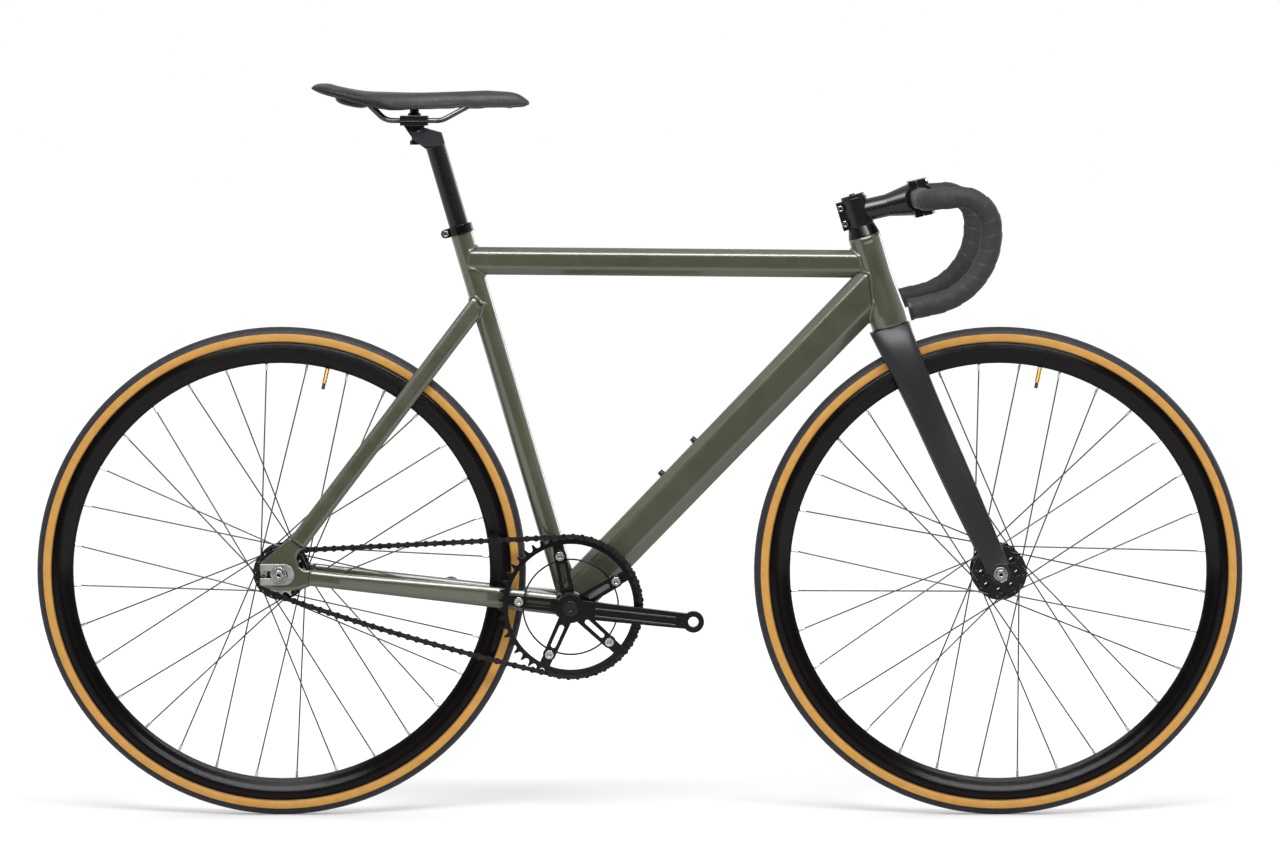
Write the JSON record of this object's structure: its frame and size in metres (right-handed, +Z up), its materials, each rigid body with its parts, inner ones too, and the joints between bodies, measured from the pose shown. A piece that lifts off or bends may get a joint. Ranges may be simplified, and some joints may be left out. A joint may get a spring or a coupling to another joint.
{
  "type": "fixed gear bike",
  "caption": "Track style bicycle with drop bars, bevelled metal frame, deep rims, tan side wall tyres and one fixed gear driven by a chain.",
  "frame": {"origin": "on the ground, midway between the two axles, in the bicycle's middle plane", "axes": "+X forward, +Y to the rider's left, +Z up"},
  "size_m": [1.672, 0.45, 1.0159],
  "materials": {
    "frame_paint": "gloss olive green paint over alloy",
    "fork_paint": "matt black",
    "black_alloy": "satin black anodised",
    "rim_black": "satin black anodised",
    "bright_steel": "bright",
    "dark_steel": "blackened",
    "chain_steel": "oiled black",
    "spoke_steel": "dark bright drawn wire",
    "nipple_brass": "nickel plated",
    "tyre_rubber": "dark tread with tan side walls",
    "tube_rubber": "butyl",
    "bar_tape": "charcoal cushioned wrap",
    "black_plastic": "moulded",
    "saddle_cover": "charcoal synthetic cover on foam"
  },
  "bodies": {
    "frame": {"head_tube": "frame_paint", "headset_bearings": "bright_steel", "top_tube": "frame_paint", "down_tube": "frame_paint", "seat_tube": "frame_paint", "bottom_bracket_shell": "frame_paint", "bottom_bracket_cups": "black_alloy", "seat_collar": "black_alloy", "seat_collar_bolt": "bright_steel", "bottle_cage_bolts": "dark_steel", "seatstay_right": "frame_paint", "seatstay_left": "frame_paint", "chainstay_right": "frame_paint", "chainstay_left": "frame_paint", "dropout_right": "frame_paint", "dropout_left": "frame_paint", "dropout_plates": "bright_steel", "rear_axle": "bright_steel", "rear_axle_bolts": "bright_steel", "chain_inner_links": "chain_steel", "chain_outer_links": "chain_steel"},
    "steering": {"fork": "fork_paint", "headset_cover": "black_alloy", "stem": "black_alloy", "stem_faceplate": "black_alloy", "stem_bolts": "bright_steel", "stem_top_cap": "black_alloy", "front_axle": "bright_steel", "front_axle_bolts": "bright_steel"},
    "handlebar": {"handlebar": "black_alloy", "bar_tape_right": "bar_tape", "bar_tape_left": "bar_tape", "bar_end_plugs": "black_plastic"},
    "front_wheel": {"front_tyre": "tyre_rubber", "front_inner_tube": "tube_rubber", "front_rim": "rim_black", "front_spokes": "spoke_steel", "front_nipples": "nipple_brass", "front_hub": "black_alloy", "front_hub_bearings": "bright_steel"},
    "rear_wheel": {"rear_tyre": "tyre_rubber", "rear_inner_tube": "tube_rubber", "rear_rim": "rim_black", "rear_spokes": "spoke_steel", "rear_nipples": "nipple_brass", "rear_hub": "black_alloy", "rear_hub_bearings": "bright_steel", "sprocket": "bright_steel", "sprocket_lockring": "bright_steel"},
    "crankset": {"crank_arm_right": "black_alloy", "crank_arm_left": "black_alloy", "bottom_bracket_spindle": "bright_steel", "crank_bolts": "dark_steel", "chainring": "black_alloy", "chainring_bolts": "bright_steel"},
    "seatpost": {"seatpost": "black_alloy"},
    "saddle_clamp": {"saddle_clamp": "black_alloy"},
    "saddle": {"saddle_rails": "dark_steel", "saddle": "saddle_cover"}
  },
  "joints": [
    {"name": "steering", "type": "hinge", "parent": "frame", "child": "steering", "pos_m": [0.34749, 0, 0.67839], "axis": [-0.2865, 0, 0.9581], "range_deg": [-80, 80]},
    {"name": "handlebar_tilt", "type": "hinge", "parent": "steering", "child": "handlebar", "pos_m": [0.38654, 0, 0.8564], "axis": [0, 1, 0], "range_deg": [-10, 10]},
    {"name": "front_wheel_spin", "type": "hinge", "parent": "steering", "child": "front_wheel", "pos_m": [0.497, 0, 0.339], "axis": [0, 1, 0], "continuous": true},
    {"name": "rear_wheel_spin", "type": "hinge", "parent": "frame", "child": "rear_wheel", "pos_m": [-0.497, 0, 0.339], "axis": [0, 1, 0], "continuous": true, "deforming": ["chain_inner_links", "chain_outer_links"]},
    {"name": "crank_spin", "type": "hinge", "parent": "frame", "child": "crankset", "pos_m": [-0.0957, 0, 0.2926], "axis": [0, 1, 0], "continuous": true},
    {"name": "seatpost_height", "type": "slide", "parent": "frame", "child": "seatpost", "axis": [-0.2823, 0, 0.9593], "range_m": [-0.08, 0.08]},
    {"name": "saddle_tilt", "type": "hinge", "parent": "seatpost", "child": "saddle_clamp", "pos_m": [-0.3116, 0, 0.963], "axis": [0, 1, 0], "range_deg": [-6, 6]},
    {"name": "saddle_slide", "type": "slide", "parent": "saddle_clamp", "child": "saddle", "axis": [1, 0, 0], "range_m": [-0.009, 0.009]}
  ],
  "couplings": [
    {"joint": "crank_spin", "follows": "rear_wheel_spin", "ratio": 0.3125}
  ]
}
